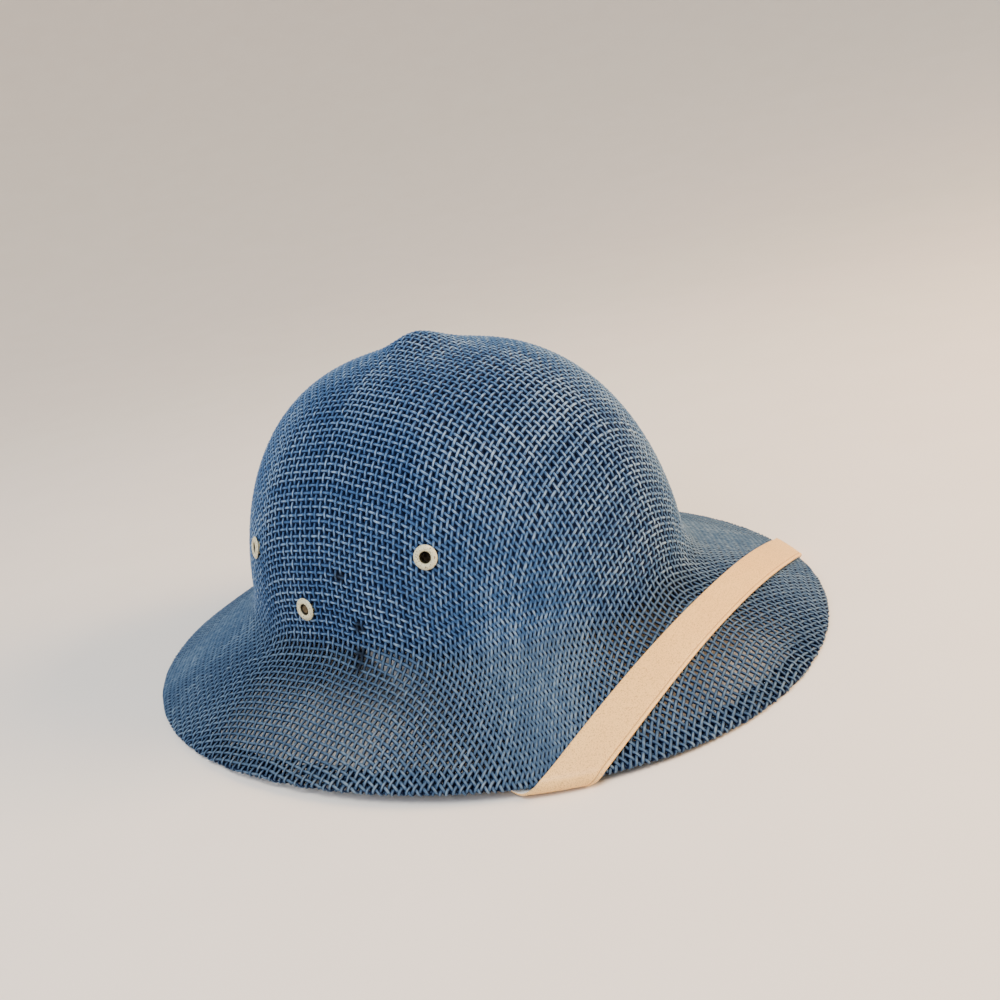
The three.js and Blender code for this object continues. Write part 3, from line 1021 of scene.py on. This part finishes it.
        # The flanks, drawn in and lowered
        off = add(VECTOR, LESS, (here, middle))
        high = add(VECTOR, {"operation": "DOT_PRODUCT"}, (off, facing))
        upward = add(VECTOR, SCALED, {0: facing, "Scale": high})
        sideways = add(VECTOR, LESS, (off, upward))
        outer = add(MATH, {"operation": "GREATER_THAN"}, (add(MATH, ABSOLUTE, (spread,)), self.flank_start))
        share = add(MATH, TIMES, (outer, add(MATH, LESS, (skirt, 1.0))))
        drawn = add(VECTOR, SCALED, {0: sideways, "Scale": share})
        fallen = add(VECTOR, SCALED, {0: facing, "Scale": add(MATH, TIMES, (outer, given["Drop"]))})
        moved = add(VECTOR, LESS, (drawn, fallen))
        for kind, inputs in (("SetPosition", {"Offset": moved}), ("SetShadeSmooth", {}), ("RealizeInstances", {}),
                             ("SetMaterial", {"Material": given["Yarn"]})):
            made = add(f"GeometryNode{kind}", {}, {"Geometry": made, **inputs})
        add("NodeGroupOutput", {}, {"Geometry": made})
        return tree

    def lay(self, piece: Object, tree: NodeTree, material: Material) -> None:
        """Turns lines into a plain mesh of yarns, flattened where they meet the floor.

        Args:
            piece: The object that holds the lines.
            tree: The tree that lays yarns.
            material: The yarns' finish.
        """
        modifier = piece.modifiers.new("yarns", "NODES")
        modifier.node_group = tree
        values = {"Rise": self.rise * MM, "Width": self.yarn_width * MM, "Thickness": self.yarn_thickness * MM,
                  "Crest": self.crest, "Drop": self.drop * MM, "Yarn": material}
        for item in tree.interface.items_tree:
            if item.in_out == "INPUT" and item.name in values:
                modifier[item.identifier] = values[item.name]
        bpy.context.view_layer.update()
        made = bpy.data.meshes.new_from_object(piece.evaluated_get(bpy.context.evaluated_depsgraph_get()))
        piece.modifiers.clear()
        piece.data = made
        made.name = piece.name
        places = np.zeros(len(made.vertices) * 3, np.float32)
        made.vertices.foreach_get("co", places)
        places[2::3] = np.maximum(places[2::3], 0)
        made.vertices.foreach_set("co", places)
        for extra in ("facing", "girth", "middle"):
            if extra in made.attributes:
                made.attributes.remove(made.attributes[extra])
        made.update()

    def build(self) -> None:
        """Builds the weave in six pieces."""
        net = self.disturbed(self.net())
        net = np.concatenate([net, self.squareness(net)[..., None]], -1)
        LOG.info("weave: %d crossings", int(np.isfinite(net[..., 0]).sum()))
        material, tree = self.finish.material(), self.yarn_tree()
        for family, names in ((Family.LENGTHWISE, ("left", "middle", "right")),
                              (Family.CROSSWISE, ("back", "middle", "front"))):
            yarns = self.yarns(net, family)
            weights = np.cumsum([len(yarn.over) for yarn in yarns])
            for part, name in enumerate(names):
                share = [y for y, w in zip(yarns, weights) if part <= len(names) * (w - 1) / weights[-1] < part + 1]
                piece = self.lines(share, f"weave_{family.value}_{name}")
                self.lay(piece, tree, material)
                hand_over(piece, "woven_shell")


@dataclass
class Hardware:
    """Eyelets and rivets, turned about their axes."""

    form: Form
    hole: float = 2.5
    barrel: float = 2.95
    clinch: float = 4.1
    clinch_gap: float = 0.6
    sheet: float = 0.5
    clearance: float = 0.3
    flange: Corners = ((5.1, 0.0), (5.3, 0.25), (5.16, 0.5), (4.7, 0.75), (4.28, 0.98), (3.8, 1.1), (3.36, 1.08),
                       (3.0, 0.95), (2.7, 0.72), (2.5, 0.4))
    rivet: float = 2.15
    rivet_head: float = 4.6
    rivet_head_thickness: float = 1.2
    chamfer: float = 0.4
    rivet_depth: float = 5.3
    sides: int = 48

    def lathe(self, outline: list[Span], angle: float, height: float) -> tuple[Array, list]:
        """Turns an outline about an axis that stands out of the shell.

        Args:
            outline: Radius and height of each corner, round the section.
            angle: Angle of the axis in degrees.
            height: Height at which the axis meets the shell.

        Returns:
            Points in millimetres and faces.
        """
        centre, axis = self.form.seat(angle, height)
        across = unit(np.cross(axis, (0, 0, 1)))
        upward = np.cross(axis, across)
        turns = np.arange(self.sides) * 2 * math.pi / self.sides
        rings = np.cos(turns)[:, None] * across + np.sin(turns)[:, None] * upward
        points, starts, faces = [], [], []
        for radius, high in outline:
            starts.append(len(points))
            points.extend(centre + axis * high + (rings * radius if radius else rings[:1] * 0))
        for i, after in zip(range(len(outline)), [*range(1, len(outline)), 0]):
            first, second = outline[i][0] > 0, outline[after][0] > 0
            for k in range(self.sides if first or second else 0):
                n = (k + 1) % self.sides
                here = [starts[i] + k, starts[i] + n] if first else [starts[i]]
                there = [starts[after] + n, starts[after] + k] if second else [starts[after]]
                faces.append(here + there)
        return np.array(points), faces

    def build(self) -> None:
        """Builds every eyelet and rivet."""
        enamel, brass = IvoryEnamel().material(), AgedBrass().material()
        top = -(self.form.wall + self.clinch_gap)
        foot = top - self.sheet
        ring = [(self.hole, foot), (self.clinch, foot), (self.clinch, top), (self.barrel, top),
                (self.barrel, self.clearance), *((r, h + self.clearance) for r, h in self.flange)]
        for eyelet in EYELETS:
            piece = mesh_piece(f"{eyelet.node}_ring", *self.lathe(ring, eyelet.angle, eyelet.height), enamel)
            # The hole's wall is marked for its painted shade.
            mark(piece.data, {"bore": np.repeat([float(r <= self.hole) for r, _ in ring], self.sides)})
            hand_over(piece, eyelet.node)
        head, cut = -self.rivet_depth, self.chamfer
        base = head - self.rivet_head_thickness
        pin = [(0, base), (self.rivet_head - cut, base), (self.rivet_head, base + cut), (self.rivet_head, head),
               (self.rivet, head), (self.rivet, 0), (self.rivet - cut, cut), (0, cut)]
        for side, name in ((1, "right"), (-1, "left")):
            turned = self.lathe(pin, side * ANCHOR_ANGLE, ANCHOR_HEIGHT)
            hand_over(mesh_piece(f"strap_rivet_{name}_pin", *turned, brass), f"strap_rivet_{name}")


@dataclass
class ChinStrap:
    """The strap: over the front of the brim, round its edge and under it to the rivets."""

    form: Form
    width: float = 16.0
    thickness: float = 1.2
    top_gap: float = 0.5
    under_depth: float = 4.4
    fold_slack: float = 0.3
    tab: float = 9.0
    foremost: Span = (34.0, -134.0)
    bow: float = 0.00078
    fillet_length: float = 24.0
    crown_length: float = 263.0
    under_way: Corners = ((0, 0), (0.2, 0.26), (0.32, 0.92), (1, 1))
    corner: float = 0.42
    welt: Corners = ((0.3, 0.18), (0.6, 0.2), (0.85, 0.05), (1.05, -0.22), (1.35, -0.05), (1.8, 0.0))
    seam_depth: float = 0.2
    welt_shade_share: float = 0.75
    samples: int = 200
    tab_samples: int = 10
    station: float = 1.2
    finish: CreamVinyl = field(default_factory=CreamVinyl)

    @property
    def fold_radius(self) -> float:
        """Radius of the fold round the rim."""
        return self.form.hem_thickness / 2 + self.top_gap + self.thickness / 2

    @property
    def fold_length(self) -> float:
        """Length of the fold round the rim."""
        return math.pi * (self.fold_radius + self.fold_slack / 2)

    def point(self, angle: Array, way: Array, lift: Array) -> Array:
        """Points of the strap.

        Args:
            angle: Angles from the front.
            way: Below 0 on the brim, then round the rim, then under it.
            lift: Distances from the middle of the strap's thickness, away from the shell.

        Returns:
            Points in millimetres.
        """
        form = self.form
        slope = form.slope(angle)
        on_top = form.below(angle, 3 + np.minimum(way, 0) / slope, -(self.top_gap + self.thickness / 2 + lift))
        turn = np.clip(math.pi * way / self.fold_length, 0, math.pi)
        radius = self.fold_radius + self.fold_slack * np.sin(turn) + lift
        rim = np.full(np.shape(angle), 3.0)
        facing = form.normal(angle, rim) * np.cos(turn)[..., None] + form.along(angle, rim) * np.sin(turn)[..., None]
        folded = form.below(angle, rim, form.hem_thickness / 2) + facing * radius[..., None]
        reach = np.maximum(way - self.fold_length, 0)
        inner = np.where(reach < slope + self.fillet_length, 2 - (reach - slope) / self.fillet_length,
                         1 - (reach - slope - self.fillet_length) / self.crown_length)
        place = np.where(reach < slope, 3 - reach / slope, inner)
        under = form.below(angle, place, self.under_depth + lift)
        first, second = (way <= 0)[..., None], (way < self.fold_length)[..., None]
        return np.where(first, on_top, np.where(second, folded, under))

    def on_brim(self, x: Array) -> Pair:
        """Angle and way of the strap's middle on the brim.

        Args:
            x: Distances across the helmet.

        Returns:
            Angles and ways.
        """
        y = self.foremost[1] + self.bow * (x - self.foremost[0]) ** 2
        angle = np.arctan2(-x, -y)
        inner, outer = self.form.crown_radius(angle), self.form.brim_radius(angle)
        share = (np.hypot(x, y) - inner) / (outer - inner)
        place = 2 + (share - self.form.share_in_fillet) / (1 - self.form.share_in_fillet)
        return angle, (place - 3) * self.form.slope(angle)

    def edge_x(self, side: int) -> float:
        """Distance across the helmet at which the strap comes to the edge, on the right for 1 and the left for -1."""
        return last_kept(0.0, -side * self.form.brim_side, lambda x: self.on_brim(np.array(x))[1] < 0)

    def descent(self, side: int) -> Pair:
        """The strap's middle from the edge, round the rim and under it to past the anchor.

        Args:
            side: 1 for the right, -1 for the left.

        Returns:
            Angles and ways.
        """
        edge_x = self.edge_x(side)
        edge, before = self.on_brim(np.array(edge_x)), self.on_brim(np.array(edge_x + side))
        lean = (edge[0] - before[0]) / (edge[1] - before[1])
        fold = self.fold_length * np.arange(1, self.samples + 1) / self.samples
        anchor = side * math.radians(ANCHOR_ANGLE)
        place = self.form.place_at(anchor, ANCHOR_HEIGHT)
        reach = float(self.form.slope(np.array(anchor))) + self.fillet_length + (1 - place) * self.crown_length
        share = np.linspace(0, 1, 20 * self.samples)[:, None]
        corners = np.array(self.under_way)
        bend = ((1 - share) ** 3 * corners[0] + 3 * share * (1 - share) ** 2 * corners[1]
                + 3 * share ** 2 * (1 - share) * corners[2] + share ** 3 * corners[3])
        length = lengths(bend)
        at = np.linspace(0, length[-1], self.samples + 1)[1:]
        turn, inward = (np.interp(at, length, bend[:, c]) for c in (0, 1))
        start = edge[0] + lean * self.fold_length
        ending = np.linspace(0, side * self.tab / self.form.crown_half_width, self.tab_samples)[1:]
        angle = np.concatenate([edge[0] + lean * fold, start + (anchor - start) * turn, anchor + ending])
        held = np.full(len(ending), reach)
        return angle, np.concatenate([fold, self.fold_length + np.append(reach * inward, held)])

    def stations(self) -> Pair:
        """The whole way of the strap's middle, evenly spaced.

        Returns:
            Angles and ways.
        """
        left, right = self.descent(-1), self.descent(1)
        top = self.on_brim(np.linspace(self.edge_x(-1), self.edge_x(1), self.samples + 1))
        angle, way = (np.concatenate([left[c][::-1], top[c], right[c]]) for c in (0, 1))
        length = lengths(self.point(angle, way, np.zeros(len(angle))))
        LOG.info("chin strap: %.0f mm long", length[-1])
        at = np.linspace(0, length[-1], int(length[-1] / self.station))
        return np.interp(at, length, angle), np.interp(at, length, way)

    def section(self) -> Array:
        """Section across the strap: a flat band with rounded corners and a welt along one edge.

        Returns:
            Distances aside and lifts, round the section.
        """
        half, up, bend = self.width / 2, self.thickness / 2, self.corner
        turns = np.linspace(0, math.pi / 2, 4)
        ring = []
        for quarter, (sx, sy) in enumerate(((1, 1), (-1, 1), (-1, -1), (1, -1))):
            for turn in turns + quarter * math.pi / 2:
                ring.append((sx * (half - bend) + bend * math.cos(turn), sy * (up - bend) + bend * math.sin(turn)))
            if quarter == 0:
                ring += [(half - bend - inset, up + rise) for inset, rise in self.welt]
            if sx * sy > 0:
                ring += [(sx * (half - bend) * (1 - 2 * share), sy * up) for share in np.linspace(0, 1, 9)[2:-1]]
        return np.array(ring)

    def build(self) -> None:
        """Builds the strap."""
        angle, way = self.stations()
        middle = self.point(angle, way, np.zeros(len(angle)))
        radius = np.hypot(middle[:, 0], middle[:, 1] - self.form.setback)
        heading = unit(np.stack([radius * np.gradient(angle), np.gradient(way)], -1))
        aside, lift = self.section().T
        around = angle[:, None] - aside * (heading[:, 1] / radius)[:, None]
        along = way[:, None] + aside * heading[:, :1]
        points = self.point(around, along, np.broadcast_to(lift, around.shape)).reshape(-1, 3)
        count, size = around.shape
        faces = band_faces(count, size)
        faces.append(list(range(size))[::-1])
        faces.append([(count - 1) * size + k for k in range(size)])
        piece = mesh_piece("chin_strap_band", points, faces, self.finish.material())
        up, inside = self.thickness / 2, np.abs(aside) < self.width / 2 - self.corner
        # Points in the groove beside the welt, darkened in the finish as painted shade.
        seam = (lift < up - self.seam_depth) & (lift > 0) & inside
        mark(piece.data, {"lift": np.tile(lift / up, count), "seam": np.tile(seam * self.welt_shade_share, count)})
        hand_over(piece, "chin_strap")


@dataclass(frozen=True)
class Lamp:
    """A square soft lamp: metres right, up and towards the camera, side in metres, watts and sRGB colour."""

    name: str
    place: tuple[float, float, float]
    size: float
    power: float
    colour: str


@dataclass
class Studio:
    """Floor, backdrop, light and camera."""

    floor_radius: float = 1.0
    floor_rings: tuple[float, ...] = (0.05, 0.3, 0.7, 1)
    floor_sides: int = 64
    sweep_radius: float = 2.6
    sweep_samples: int = 12
    wall_height: float = 3.2
    target: tuple[float, float, float] = (0.0, 2.2, 60.16)
    azimuth: float = 0.94914
    elevation: float = 0.32746
    roll: float = -0.19518
    distance: float = 531.5
    shift: Span = (-22.44, -7.625)
    lens: float = 38.62
    sensor: float = 36.0
    clip: Span = (0.01, 50)
    lamps: tuple[Lamp, ...] = (
        Lamp("key", (1.35, 0.8, 0.2), 0.7, 47, "#ffcf98"),
        Lamp("fill", (-0.9, 1.1, 1.1), 1.2, 16, "#cadcfb"),
        Lamp("top", (0.0, 1.8, 0.7), 0.9, 32, "#f8f6f2"),
    )
    room: str = "#eef0f2"
    room_strength: float = 0.6

    def axes(self) -> tuple[Vector, Vector, Vector]:
        """The camera's right, up and backward ways.

        Returns:
            Three unit vectors.
        """
        level = math.cos(self.elevation)
        back = Vector((-math.sin(self.azimuth) * level, -math.cos(self.azimuth) * level, math.sin(self.elevation)))
        right = (-back).cross(Vector((0, 0, 1))).normalized()
        up = right.cross(-back)
        cosine, sine = math.cos(self.roll), math.sin(self.roll)
        return right * cosine + up * sine, up * cosine - right * sine, back

    def camera(self) -> None:
        """Places the camera at the photograph's angle."""
        right, up, back = self.axes()
        data = bpy.data.cameras.new("camera")
        data.sensor_width, data.lens = self.sensor, self.lens
        data.clip_start, data.clip_end = self.clip
        place = Vector(self.target) + back * self.distance - right * self.shift[0] - up * self.shift[1]
        camera = link("camera", data)
        camera.matrix_world = Matrix.Translation(place * MM) @ Matrix((right, up, back)).transposed().to_4x4()
        bpy.context.scene.camera = camera

    def floor(self) -> None:
        """Makes a seamless floor that sweeps up into a wall all round."""
        flat, sweep, sides = self.floor_radius, self.sweep_radius, self.floor_sides
        turns = np.linspace(0, math.pi / 2, self.sweep_samples)[1:]
        rings = [(flat * share, 0.0) for share in self.floor_rings]
        rings += [(flat + sweep * math.sin(turn), sweep * (1 - math.cos(turn))) for turn in turns]
        rings.append((flat + sweep, self.wall_height))
        around = np.arange(sides) * 2 * math.pi / sides
        points = np.concatenate([np.stack([r * np.cos(around), r * np.sin(around), np.full(sides, h)], -1)
                                 for r, h in rings])
        faces = [*band_faces(len(rings), sides), list(range(sides))]
        mesh_piece("floor", points / MM, faces, PaleBoard().material())

    def light(self) -> None:
        """Lights the stage softly, warm from the right and cool from the left."""
        _, _, back = self.axes()
        level = Vector((back.x, back.y, 0)).normalized()
        right = Vector((-level.y, level.x, 0))
        for lamp in self.lamps:
            data = bpy.data.lights.new(lamp.name, "AREA")
            data.size, data.energy, data.color = lamp.size, lamp.power, linear(lamp.colour)[:3]
            made = link(lamp.name, data)
            made.location = right * lamp.place[0] + Vector((0, 0, lamp.place[1])) + level * lamp.place[2]
            made.rotation_euler = (Vector(self.target) * MM - made.location).to_track_quat("-Z", "Y").to_euler()
        world = bpy.data.worlds.new("room")
        world.use_nodes = True
        background = world.node_tree.nodes["Background"]
        background.inputs["Color"].default_value = linear(self.room)
        background.inputs["Strength"].default_value = self.room_strength
        bpy.context.scene.world = world

    def build(self) -> None:
        """Sets the whole stage."""
        self.camera()
        self.floor()
        self.light()


def main() -> None:
    """Builds the stage, then the helmet's pieces in order."""
    logging.basicConfig(level=logging.INFO, format="%(name)s %(message)s")
    form = Form()
    Studio().build()
    for builder in (WovenShell(form), Hardware(form), ChinStrap(form)):
        builder.build()
        LOG.info("built %s", type(builder).__name__)


if __name__ == "__main__":
    main()
